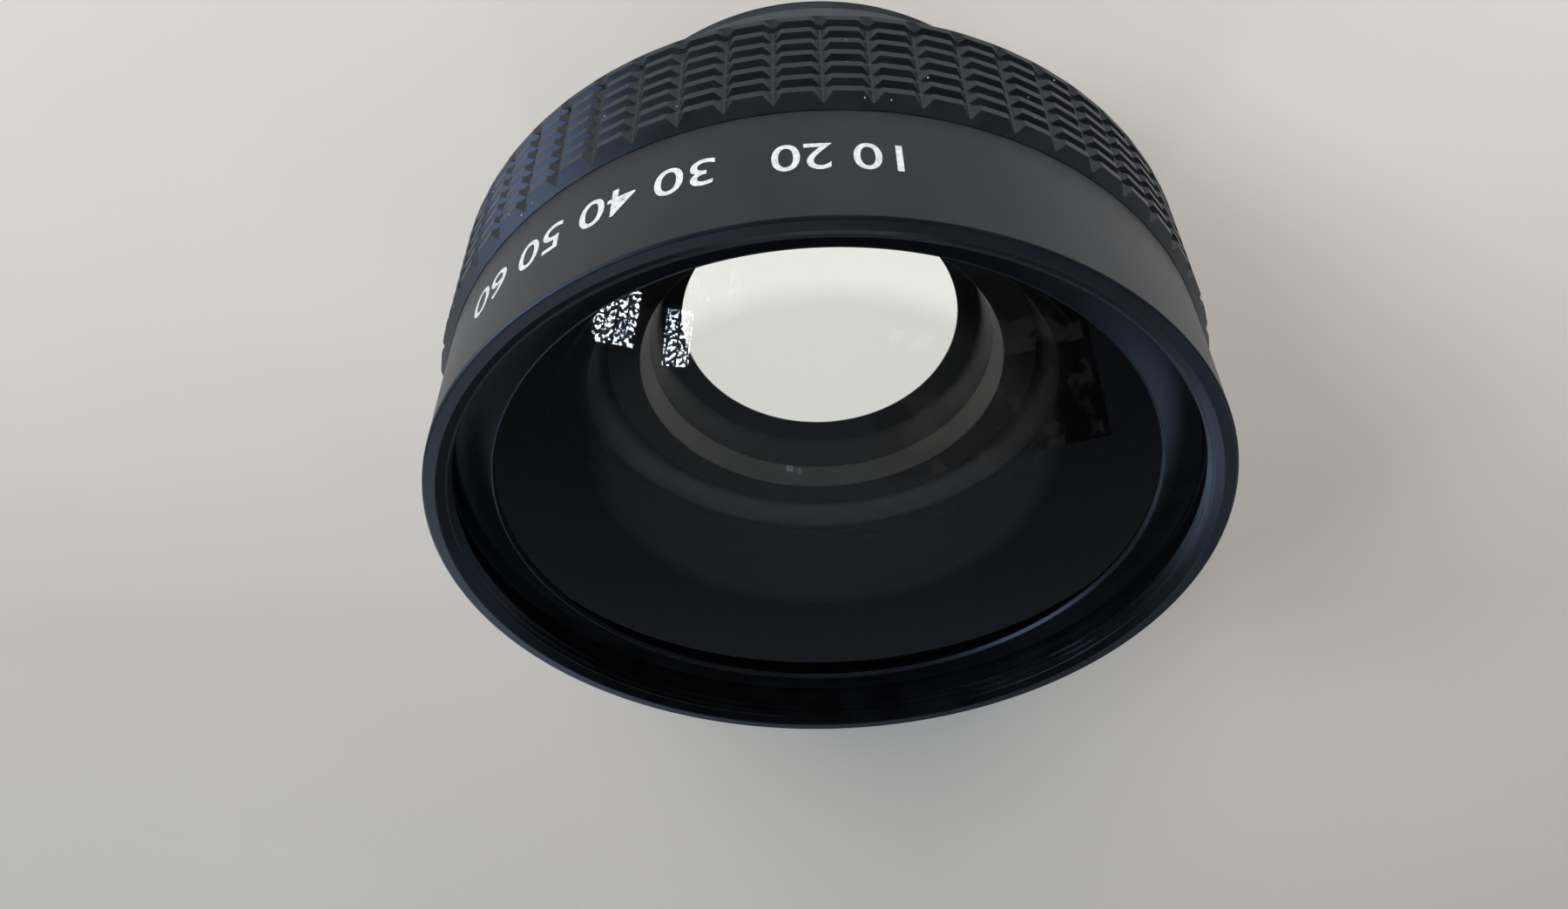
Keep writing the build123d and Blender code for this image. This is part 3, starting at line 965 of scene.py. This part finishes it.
@dataclass(frozen=True)
class RubberGrip:
    """The moulded grip: rows and columns of flat pads with sloped valleys between them."""

    stack: Stack
    rise: float = 0.95
    rows: int = 7
    row_pitch: float = 1.845
    pad_length: float = 0.7
    border: float = 1.34
    rear_chamfer: float = 0.15
    run_out: float = 1.25
    valley_depth: float = 0.49
    front_slope: float = 0.525
    rear_slope: float = 0.22
    columns: int = 60
    first_column: float = -88.5
    pad_width: float = 2.45
    groove_depth: float = 0.55
    groove_floor: float = 0.15
    pad_inset: float = 0.02
    border_step: float = 0.05
    inner_radius: float = 37.35
    round_size: float = 0.05
    round_steps: int = 2
    round_angle: float = 20.0
    all_smooth: float = 3.2

    def row_line(self) -> tuple[Points, Points]:
        """Outer line of the rubber along the axis.

        Returns:
            Rows of height and of rise over the groove floor from the front to the rear, and whether
            the grooves between the columns cut each row, which they do up to the rear edge.
        """
        top, low = self.stack.grip_high, self.stack.grip_low
        slope = self.front_slope * self.valley_depth / self.groove_depth
        fronts = top - self.border - self.row_pitch * np.arange(self.rows)
        backs = fronts - self.pad_length
        heights = np.stack((fronts + slope, fronts, backs, backs - self.rear_slope), axis=1).ravel()
        crest, valley = self.groove_depth, self.groove_depth - self.valley_depth
        rises = np.tile((valley, crest, crest, valley), self.rows)
        drop = self.rise - self.border_step - self.groove_depth
        border = [(top, -drop), (top - self.border * drop / (drop + crest), 0.0)]
        ring = [(low + self.rear_chamfer, crest), (low, crest - self.rear_chamfer)]
        line = np.concatenate((border, np.stack((heights, rises), axis=1)[1:-2], ring))
        return line, line[:, 0] > low + self.rear_chamfer + TINY

    def surface(self) -> tuple[Points, Points]:
        """Works out the grid of the rubber.

        A point's radius is the groove floor's plus the lesser of the row line's rise and the column
        line's rise. Over the run-out's length the groove floor climbs to the rear edge. On a pad the
        radius grows by the reciprocal of the cosine of its angle from the column's middle, so that
        the pad is flat.

        Returns:
            Grids of radius and of points.
        """
        rows, is_cut = self.row_line()
        line, is_cut = rows[:, 1:], is_cut[:, None]
        floor_radius = self.stack.rim + self.rise - self.groove_depth
        root = floor_radius * math.pi / self.columns - self.groove_floor / 2
        half_pad = self.pad_width / 2
        lean = np.tile(np.array((-root, -half_pad, half_pad, root)) / floor_radius, self.columns)
        column_rise = np.tile((0, self.groove_depth, self.groove_depth, 0), self.columns)[None, :]
        centres = np.radians(self.first_column + 360 / self.columns * np.arange(self.columns))
        turn = np.repeat(centres, 4) + lean
        past_edge = rows[:, :1] - self.stack.grip_low - self.rear_chamfer
        run_out = np.clip(1 - past_edge / self.run_out, 0, 1)
        cut = np.maximum(np.minimum(line, column_rise), np.minimum(line, run_out * self.groove_depth))
        rise = np.where(is_cut, cut, line)
        flat = np.where(is_cut, (floor_radius + rise) * (1 / np.cos(lean) - 1) - self.pad_inset, 0)
        radius = floor_radius + rise + np.where(rise > 0, flat, 0)
        radius = np.concatenate((radius, np.full((2, len(turn)), self.inner_radius)))
        heights = np.concatenate((rows[:, 0], [self.stack.grip_low, self.stack.grip_high]))
        height = np.repeat(heights[:, None], len(turn), axis=1)
        return radius, np.stack((radius * np.cos(turn), radius * np.sin(turn), height), axis=-1)

    def build(self, rubber: Material) -> None:
        """Builds the grip.

        Each cell of the grid is split along the diagonal that leaves its highest corner, so that
        the slopes of a pad meet in a clean edge, and a bevel then rounds every edge a little.

        Args:
            rubber: the grip's finish.
        """
        radius, grid = self.surface()
        number = np.arange(radius.size).reshape(radius.shape)
        beside, after = np.roll(number, -1, axis=1), np.roll(number, -1, axis=0)
        quads = np.stack((number, beside, np.roll(beside, -1, axis=0), after), axis=-1).reshape(-1, 4)
        reach = radius.ravel()[quads]
        odd = reach[:, [1, 3]].max(axis=1) > reach[:, [0, 2]].max(axis=1) + 1e-9
        quads = np.where(odd[:, None], np.roll(quads, -1, axis=1), quads)
        halves = [quads[:, [0, 1, 2]], quads[:, [0, 2, 3]]]
        piece = make_mesh("grip_rubber_moulded", grid.reshape(-1, 3), halves, self.all_smooth)
        bevel = piece.modifiers.new("moulded_edges", "BEVEL")
        bevel.width = self.round_size * MM
        bevel.segments = self.round_steps
        bevel.limit_method = "ANGLE"
        bevel.angle_limit = math.radians(self.round_angle)
        bevel.harden_normals = True
        dress(piece, "grip_rubber", rubber, nodes=("grip_ring",))


@dataclass(frozen=True)
class Interior:
    """The black funnel and the rear cell that show through the front glass."""

    stack: Stack
    baffle_radius: float = 27.0
    baffle_wall: float = 1.0
    bend_drop: float = 0.667
    flange: float = 0.8
    flange_radius: float = 34.45
    edge: float = 0.25
    baffle_round: float = 0.08
    cell_low: float = 0.6
    cell_top: float = 17.5
    ledge_low: float = 23.0
    ledge_high: float = 24.5
    tube_radius: float = 23.4
    cell_radius: float = 25.4
    cell_flange_radius: float = 26.0
    cell_flange_top: float = 1.6
    front_bevel: float = 0.5
    front_bevel_length: float = 1.9
    lip_height: float = 6.9954
    lip_thickness: float = 0.4
    lip_slope: float = 2.5
    lip_radius: float = 20.8
    pocket_radius: float = 23.7
    ring_pocket: float = 24.6
    flint_back: float = 1.8
    cell_round: float = 0.06
    segments: int = 384

    def baffle_profile(self) -> Points:
        """Section of the funnel, softened.

        Returns:
            Rows of radius and height.
        """
        top = self.stack.shoulder
        inner, outer = self.baffle_radius, self.baffle_radius + self.baffle_wall
        tube, tube_outer = self.tube_radius, self.tube_radius + self.baffle_wall
        outline = np.array(
            [
                (inner + self.edge, top),
                (inner, top - self.edge),
                (inner, self.ledge_high),
                (tube, self.ledge_low),
                (tube, self.cell_top),
                (tube_outer, self.cell_top),
                (tube_outer, self.ledge_low - self.bend_drop),
                (outer, self.ledge_high - self.bend_drop),
                (outer, top - self.flange),
                (self.flange_radius, top - self.flange),
                (self.flange_radius, top),
            ]
        )
        return soften(outline, self.baffle_round)

    def cell_profile(self) -> Points:
        """Section of the rear cell, softened.

        Returns:
            Rows of radius and height.
        """
        floor = self.lip_height - self.lip_thickness
        outline = np.array(
            [
                (self.tube_radius + self.front_bevel, self.cell_top),
                (self.tube_radius, self.cell_top - self.front_bevel_length),
                (self.tube_radius, self.lip_height + self.lip_slope),
                (self.lip_radius, self.lip_height),
                (self.lip_radius, floor),
                (self.pocket_radius, floor),
                (self.pocket_radius, self.flint_back),
                (self.ring_pocket, self.flint_back),
                (self.ring_pocket, self.cell_low),
                (self.cell_flange_radius, self.cell_low),
                (self.cell_flange_radius, self.cell_flange_top),
                (self.cell_radius, self.cell_flange_top),
                (self.cell_radius, self.cell_top),
            ]
        )
        return soften(outline, self.cell_round)

    def build(self, baffle: Material, cell: Material) -> None:
        """Builds the funnel and the cell.

        Args:
            baffle: the funnel's finish.
            cell: the cell's finish.
        """
        funnel = lathe("light_baffle_turned", self.baffle_profile(), self.segments)
        dress(funnel, "baffle_black", baffle, nodes=("light_baffle",))
        tube = lathe("rear_cell_turned", self.cell_profile(), self.segments)
        dress(tube, "cell_black", cell, nodes=("rear_cell",))


@dataclass(frozen=True)
class RearGlass:
    """The cemented doublet in the rear cell."""

    radius: float = 23.6
    front_curve: float = 110.0
    cement_curve: float = 170.0
    crown_edge_width: float = 0.9
    flint_thickness: float = 1.5
    flint_back: float = 1.8
    cement_gap: float = 0.02
    face_rows: int = 18
    flat_rows: int = 12
    glass_smooth: float = 0.3
    segments: int = 192

    def cement_line(self) -> Points:
        """Section of the cemented faces, from the axis out."""
        vertex = self.flint_back + self.flint_thickness
        return arc(vertex, self.cement_curve, self.radius, self.face_rows, Bulge.RISING)

    def crown_profile(self) -> Points:
        """Section of the crown element from pole to pole, a hair clear of the flint.

        Returns:
            Rows of radius and height.
        """
        back = self.cement_line()
        top = back[-1, 1] + self.crown_edge_width + sag(self.front_curve, self.radius)
        face = arc(top, self.front_curve, self.radius, self.face_rows)
        return np.concatenate((face, back[::-1] + (0, self.cement_gap)))

    def flint_profile(self) -> Points:
        """Section of the flint element from pole to pole."""
        flat = np.linspace((self.radius, self.flint_back), (0, self.flint_back), self.flat_rows)
        return np.concatenate((self.cement_line(), flat))

    def build(self, glass: Material) -> None:
        """Builds the two elements.

        Args:
            glass: the finish of both.
        """
        for kind, profile in (("crown", self.crown_profile()), ("flint", self.flint_profile())):
            piece = lathe(f"{kind}_polished", profile, self.segments, smooth=self.glass_smooth)
            dress(piece, "rear_glass", glass, nodes=(f"{kind}_element",))


@dataclass(frozen=True)
class RearBody:
    """The main barrel with its taper and neck, and the mount ring with its thread."""

    stack: Stack
    lip_length: float = 1.1
    lip_chamfer: float = 0.35
    shoulder_drop: float = 1.2
    neck_radius: float = 28.8
    neck_top: float = 11.1
    spigot_radius: float = 34.55
    spigot_bore: float = 31.15
    seat_radius: float = 37.2
    split_rise: float = 1.6
    groove_bottom_rise: float = 0.35
    groove_width: float = 1.1
    groove_depth: float = 1.0
    barrel_round: float = 0.08
    least_turn: float = 0.1
    mount_spigot: float = 27.0
    screwed_play: float = 0.05
    socket_play: float = 0.15
    shim_top: float = 1.8
    cell_bore: float = 25.45
    pocket_floor: float = 1.4
    pocket_width: float = 2.0
    flange_drop: float = 0.8
    mount_mouth: float = 26.05
    thread_radius: float = 27.5
    thread_chamfer: float = 0.4
    thread_top: float = 5.6
    thread_fade: float = 0.3
    thread_rows: int = 64
    relief_length: float = 1.0
    relief_depth: float = 0.5
    flange_thickness: float = 2.3
    flange_radius: float = 29.6
    flange_chamfer: float = 0.3
    mount_round: float = 0.06
    segments: int = 384

    def barrel_profile(self) -> Points:
        """Section of the main barrel, with a round shoulder and a hollow at the neck.

        Returns:
            Rows of radius and height.
        """
        s = self.stack
        low, taper_top = s.grip_low, s.grip_low - self.lip_length
        split, floor = low + self.split_rise, s.shoulder - self.flange_drop
        lip, pocket = s.rim - self.lip_chamfer, self.neck_top + self.pocket_floor
        groove, groove_low = self.spigot_radius - self.groove_depth, split + self.groove_bottom_rise
        groove_high = groove_low + self.groove_width
        neck_low = self.thread_top + self.flange_thickness
        socket, socket_top = self.mount_spigot + self.screwed_play, s.mount_top + self.socket_play
        outline = np.array(
            [
                (self.spigot_radius, floor),
                (self.spigot_radius, groove_high),
                (groove, groove_high),
                (groove, groove_low),
                (self.spigot_radius, groove_low),
                (self.spigot_radius, split),
                (self.seat_radius, split),
                (self.seat_radius, low),
                (lip, low),
                (s.rim, low - self.lip_chamfer),
                (s.rim, taper_top + self.lip_chamfer),
                (lip, taper_top),
                (lip - self.shoulder_drop, taper_top - self.shoulder_drop / 2),
                (self.neck_radius, self.neck_top),
                (self.neck_radius, neck_low),
                (socket, neck_low),
                (socket, socket_top),
                (self.cell_bore, socket_top),
                (self.cell_bore, pocket),
                (self.cell_bore + self.pocket_width, pocket),
                (self.spigot_bore, low),
                (self.spigot_bore, floor),
            ]
        )
        return soften(outline, self.barrel_round, least=self.least_turn)

    def mount_profile(self, thread_end: float) -> Points:
        """Section of the mount ring, softened.

        Args:
            thread_end: height where the thread meets its relief.

        Returns:
            Rows of radius and height.
        """
        low, top = self.thread_top, self.thread_top + self.flange_thickness
        edge, relief = self.flange_radius - self.flange_chamfer, self.thread_radius - self.relief_depth
        outline = np.array(
            [
                (self.mount_mouth, 0),
                (self.thread_radius - self.thread_chamfer, 0),
                (self.thread_radius, self.thread_chamfer),
                (self.thread_radius, thread_end),
                (relief, thread_end),
                (relief, low),
                (edge, low),
                (self.flange_radius, low + self.flange_chamfer),
                (self.flange_radius, top - self.flange_chamfer),
                (edge, top),
                (self.mount_spigot, top),
                (self.mount_spigot, self.stack.mount_top),
                (self.cell_bore, self.stack.mount_top),
                (self.cell_bore, self.shim_top),
                (self.mount_mouth, self.shim_top),
            ]
        )
        return soften(outline, self.mount_round)

    def build(self, skin: Material, mount: Material) -> None:
        """Builds the barrel and the mount ring.

        Args:
            skin: the barrel's finish, a lighter copy of the anodised black with painted light.
            mount: the mount ring's finish, a lighter copy of the turned black with painted light.
        """
        barrel = lathe("main_barrel_turned", self.barrel_profile(), self.segments)
        dress(barrel, "rear_barrel_black", skin, nodes=("main_barrel",))
        end = self.thread_top - self.relief_length
        thread = Thread(self.thread_radius, self.thread_chamfer, end, 0.0, self.thread_fade, self.thread_rows)
        profile = thread.refine(self.mount_profile(end))
        ring = lathe("mount_ring_threaded", profile, self.segments, thread.cut)
        dress(ring, "mount_black", mount, nodes=("mount_ring",))


# Studio


class LampTone(Enum):
    """Colour of a lamp."""

    COOL = "#cfe5ff"
    DAY = "#eef3fb"
    WARM = "#fff7ec"


class LampUse(Enum):
    """What a lamp does: whether it lights surfaces, and whether they mirror it."""

    FULL = (True, True)
    SOFT = (True, False)
    MIRRORED = (False, True)


def direction(azimuth: float, elevation: float) -> Vector:
    """Gives the unit vector towards an azimuth and an elevation in degrees."""
    turn, lift = math.radians(azimuth), math.radians(elevation)
    return Vector((math.cos(turn) * math.cos(lift), math.sin(turn) * math.cos(lift), math.sin(lift)))


@dataclass(frozen=True)
class Softbox:
    """One square softbox: the azimuth and elevation it shines from, in degrees, and its power."""

    name: str
    azimuth: float
    elevation: float
    size: float
    power: float
    tone: LampTone = LampTone.COOL
    use: LampUse = LampUse.FULL
    distance: float = 2.4

    def build(self, target: Vector) -> None:
        """Places the lamp so that it faces the target, unseen through the glasses.

        Args:
            target: the point that it faces.
        """
        lamp = bpy.data.lights.new(self.name, "AREA")
        lamp.shape = "SQUARE"
        lamp.size = self.size
        lamp.energy = self.power
        lamp.color = linear(self.tone.value)[:3]
        light = put(self.name, lamp)
        out = direction(self.azimuth, self.elevation)
        light.location = target + out * self.distance
        light.rotation_euler = out.to_track_quat("Z", "Y").to_euler()
        light.visible_transmission = False
        light.visible_diffuse, light.visible_glossy = self.use.value


@dataclass(frozen=True)
class MirroredSheet:
    """A mottled bright sheet with dark bars, which the front glass mirrors as small panes."""

    name: str
    azimuth: float
    elevation: float
    width: float = 0.056
    height: float = 0.078
    strength: float = 120.0
    mottle_mm: float = 5.5
    mottle_detail: float = 4.0
    mottle_start: float = 0.51
    mottle_end: float = 0.56
    pane_mm: float = 14.0
    pane_rows: float = 3.1
    bar_share: float = 0.09
    shade: str = "#050607"
    light: str = "#eef4ff"
    distance: float = 1.3

    def glow(self, tree: Tree, place: Socket) -> Socket:
        """Gives the sheet's light.

        Args:
            tree: the node tree.
            place: the coordinates.

        Returns:
            An emission of mottled panes between dark bars.
        """
        cloud = noise(tree, self.mottle_mm, self.mottle_detail, place)
        pane = ramp(tree, cloud, self.shade, self.light, self.mottle_start, self.mottle_end)
        bars = add_node(
            tree,
            "TexBrick",
            {"offset": 0.0},
            Vector=place,
            Color1=pane,
            Color2=pane,
            Mortar=linear(self.shade),
            Scale=1 / (self.pane_mm * MM),
            Mortar_Size=self.bar_share,
            Brick_Width=1.0,
            Row_Height=self.pane_rows,
        ).outputs["Color"]
        return add_node(tree, "Emission", Color=bars, Strength=self.strength).outputs["Emission"]

    def build(self, target: Vector) -> None:
        """Places the sheet so that it faces the target, unseen by the camera.

        Args:
            target: the point that it faces.
        """
        sheet = flat_sheet(self.name, self.width, self.height, new_material(self.name, self.glow))
        out = direction(self.azimuth, self.elevation)
        sheet.location = target + out * self.distance
        sheet.rotation_euler = (-out).to_track_quat("Z", "Y").to_euler()
        sheet.visible_camera = False


@dataclass(frozen=True)
class Studio:
    """Floor, lamps, world and the camera at the photograph's viewing angle.

    The camera stands 2.984 rim radii from the rim's centre and 52.82 degrees off the axis. It is
    turned upside down, because the real lens lies on its side there.
    """

    stack: Stack
    image_width_px: int = 1800
    focal_px: float = 1352.0
    off_axis: float = 52.82
    distance_radii: float = 2.984
    pitch: float = -0.0715
    yaw: float = 0.036
    roll: float = -0.0385
    sensor_mm: float = 36.0
    nearest_view: float = 0.005
    floor_size: float = 1.6
    floor_drop: float = 0.00002
    paper_near: str = "#ebeae7"
    paper_far_painted_shade: str = "#cac9c6"
    painted_shade_turn: tuple[float, float] = (-0.05, 0.09)
    paper_rough: float = 0.8
    paper_gloss: float = 0.2
    mottle_mm: float = 60.0
    mottle_detail: float = 3.0
    mottle: float = 0.1
    through_glass: str = "#f3f4f1"
    backdrop: str = "#dcdbd7"
    fill_tone: str = "#fff3e2"
    fill_strength: float = 0.13
    fill_mirrored: float = 0.038
    target: tuple[float, float, float] = (0.0, 0.0, 0.03)
    sheet_target: tuple[float, float] = (0.016, -0.025)

    def camera(self) -> None:
        """Makes the camera: it looks at the rim's centre and is then turned by three small angles."""
        tilt = math.radians(self.off_axis)
        out = Vector((0, -math.sin(tilt), math.cos(tilt)))
        reach = self.distance_radii * self.stack.rim * MM
        place = Vector((0, 0, self.stack.front * MM)) + out * reach
        forward = -out
        down = (Vector((0, 0, 1)) - forward * forward.z).normalized()
        turn = Vector((self.pitch, self.yaw, self.roll))
        aim = Matrix((down.cross(forward), down, forward))
        aim = Matrix.Rotation(turn.length, 3, turn.normalized()) @ aim
        data = bpy.data.cameras.new("camera")
        data.sensor_width = self.sensor_mm
        data.lens = self.sensor_mm * self.focal_px / self.image_width_px
        data.clip_start = self.nearest_view
        camera = put("camera", data)
        basis = Matrix((aim[0], -aim[1], -aim[2])).transposed().to_4x4()
        camera.matrix_world = Matrix.Translation(place) @ basis
        bpy.context.scene.camera = camera

    def paper(self, tree: Tree, place: Socket) -> Socket:
        """Gives the floor's shader.

        Args:
            tree: the node tree.
            place: the coordinates.

        Returns:
            A pale paper that darkens farther along y, which is painted shade, even and bright through the
            glasses, and clear from below.
        """
        along = add_node(tree, "SeparateXYZ", Vector=place).outputs["Y"]
        # Darker farther along y: a painted shade gradient on the paper.
        share = spread(tree, along, 0.0, 1.0, *self.painted_shade_turn)
        cloud = noise(tree, self.mottle_mm, self.mottle_detail, place)
        share = reckon(tree, "ADD", share, spread(tree, cloud, -self.mottle, self.mottle))
        colour = ramp(tree, share, self.paper_near, self.paper_far_painted_shade, 0.0, 1.0)
        skin = {"Roughness": self.paper_rough, "Specular_IOR_Level": self.paper_gloss}
        paper = principled(tree, Base_Color=colour, **skin)
        glow = add_node(tree, "Emission", Color=linear(self.through_glass), Strength=1.0).outputs["Emission"]
        through = add_node(tree, "LightPath").outputs["Is Transmission Ray"]
        below = add_node(tree, "NewGeometry").outputs["Backfacing"]
        clear = add_node(tree, "BsdfTransparent").outputs["BSDF"]
        return mix_shaders(tree, below, mix_shaders(tree, through, paper, glow), clear)

    def floor(self) -> None:
        """Makes the pale floor, a hair under the rear end."""
        material = new_material("pale_paper", self.paper)
        floor = flat_sheet("floor", self.floor_size, self.floor_size, material)
        floor.location.z = -self.floor_drop

    def world(self) -> None:
        """Makes the even light round the object, dimmer in mirrors, and the backdrop for the camera."""
        world = bpy.data.worlds.new("even_light")
        world.use_nodes = True
        tree = world.node_tree
        tree.nodes.clear()
        rays = add_node(tree, "LightPath").outputs
        strength = spread(tree, rays["Is Glossy Ray"], self.fill_strength, self.fill_mirrored)
        fill = add_node(tree, "Background", Color=linear(self.fill_tone), Strength=strength).outputs[0]
        shown = add_node(tree, "Background", Color=linear(self.backdrop), Strength=1.0).outputs[0]
        add_node(tree, "OutputWorld", Surface=mix_shaders(tree, rays["Is Camera Ray"], fill, shown))
        bpy.context.scene.world = world

    def lamps(self) -> None:
        """Places the lamps and the sheets that the glass mirrors."""
        day, warm, soft, mirrored = LampTone.DAY, LampTone.WARM, LampUse.SOFT, LampUse.MIRRORED
        for box in (
            Softbox("front_box", -84.0, 18.5, size=1.0, power=76.0, tone=warm, use=soft),
            Softbox("front_left_box", -44.0, 28.0, size=0.9, power=38.0, tone=day, use=soft),
            Softbox("left_box", -16.0, 15.0, size=1.4, power=34.0, use=mirrored),
            Softbox("rear_wide_box", 98.0, 26.0, size=2.4, power=3.2),
            Softbox("rear_left_box", 54.0, 17.0, size=1.0, power=8.0),
            Softbox("low_rear_box", 69.0, 12.0, size=0.8, power=5.0, use=mirrored),
            Softbox("rear_right_box", 137.0, 33.0, size=1.0, power=4.0),
        ):
            box.build(Vector(self.target))
        dim = {"strength": 0.5, "mottle_mm": 60.0, "pane_mm": 150.0, "shade": "#5d5a58", "light": "#d9d1c8"}
        for sheet in (
            MirroredSheet("left_panes", 73.5, 48.9),
            MirroredSheet("right_panes", 78.9, 48.1, width=0.034),
            MirroredSheet("dim_panes", 103.5, 45.0, width=0.29, height=0.25, **dim),
        ):
            sheet.build(Vector((*self.sheet_target, self.stack.front * MM)))

    def build(self) -> None:
        """Builds the whole studio."""
        bpy.context.scene.view_settings.view_transform = "Standard"
        self.camera()
        self.floor()
        self.world()
        self.lamps()


def main() -> None:
    """Loads the frame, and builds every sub-assembly and the studio."""
    logging.basicConfig(level=logging.INFO, format="%(message)s")
    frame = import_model()
    stack = Stack.from_frame()
    matt = {"sheen": "#f6f2f0"}
    band_skin = AnodisedSkin("black_anodised_band").make()
    # Lighter copy of the anodised black for the main barrel: painted light for the bright floor it mirrors.
    rear_skin_painted_light = AnodisedSkin("black_anodised_rear_painted_light", "#171a1e", "#1d2025").make()
    ring_black = TurnedBlack("turned_black_ring", gloss=0.6).make()
    # A darker copy of the turned black for the barrel's inward faces: painted shade.
    inner_black_painted_shade = TurnedBlack("turned_black_inner_painted_shade", "#020203", "#050607", gloss=0.25).make()
    # Lighter copy of the turned black for the mount ring: painted light for the bright floor it mirrors.
    mount_black = TurnedBlack("turned_black_mount_painted_light", "#24282c", "#2c3034").make()
    baffle_black = TurnedBlack("matt_black_baffle", "#303030", "#383838", gloss=0.55, **matt).make()
    cell_black = TurnedBlack("matt_black_cell", "#252425", "#2d2c2c", rough=0.42, gloss=0.3, **matt).make()
    glass = CoatedGlass("coated_front_glass", speck_share=0.05).make()
    # The hollow's whitish veil is a painted reflection of the light inside the lens.
    hollow_glass = CoatedGlass("coated_front_hollow", painted_veil=0.2).make()
    rear_glass = CoatedGlass("coated_rear_glass").make()
    edge = {"cloud_mm": 1.5, "blend": 0.15, "rough": 0.85, "gloss": 0.1}
    paint = PlainCoat("black_edge_paint", "#07090c", "#0e1014", **edge).make()
    ink = PlainCoat("white_print", "#989fa5", "#bdc3c9", cloud_mm=0.4, rough=0.55).make()
    film = PlainCoat("black_film", "#0e0e10", "#17171a", rough=0.7).make()
    steel = PlainCoat("blackened_steel", "#3a3a3e", "#4a4a4f", rough=0.4, metallic=1.0).make()
    brass = PlainCoat("brass_shim", "#a58a4a", "#b89b58", rough=0.35, metallic=1.0).make()
    tape = PlainCoat("dark_tape", "#1d1d1f", "#27272a", rough=0.8).make()
    seal = PlainCoat("seal_rubber", "#111113", "#1a1a1c").make()
    FrontBarrel(stack).build(band_skin, inner_black_painted_shade)
    BandPrint(stack).build(ink)
    FrontGlass(stack).build(ring_black, glass, paint, hollow_glass)
    RubberGrip(stack).build(MouldedRubber("moulded_rubber").make())
    Interior(stack).build(baffle_black, cell_black)
    RearGlass().build(rear_glass)
    RearBody(stack).build(rear_skin_painted_light, mount_black)
    for node, material in (
        ("front_lens_washer", film),
        ("rear_lens_washer", film),
        ("dust_seal", seal),
        ("grip_tape", tape),
        ("spacing_shim", brass),
        ("barrel_lock_screws", steel),
        ("mount_lock_screws", steel),
        ("rear_retaining_ring", ring_black),
    ):
        dress_node(frame, node, material)
    Studio(stack).build()


if __name__ == "__main__":
    main()
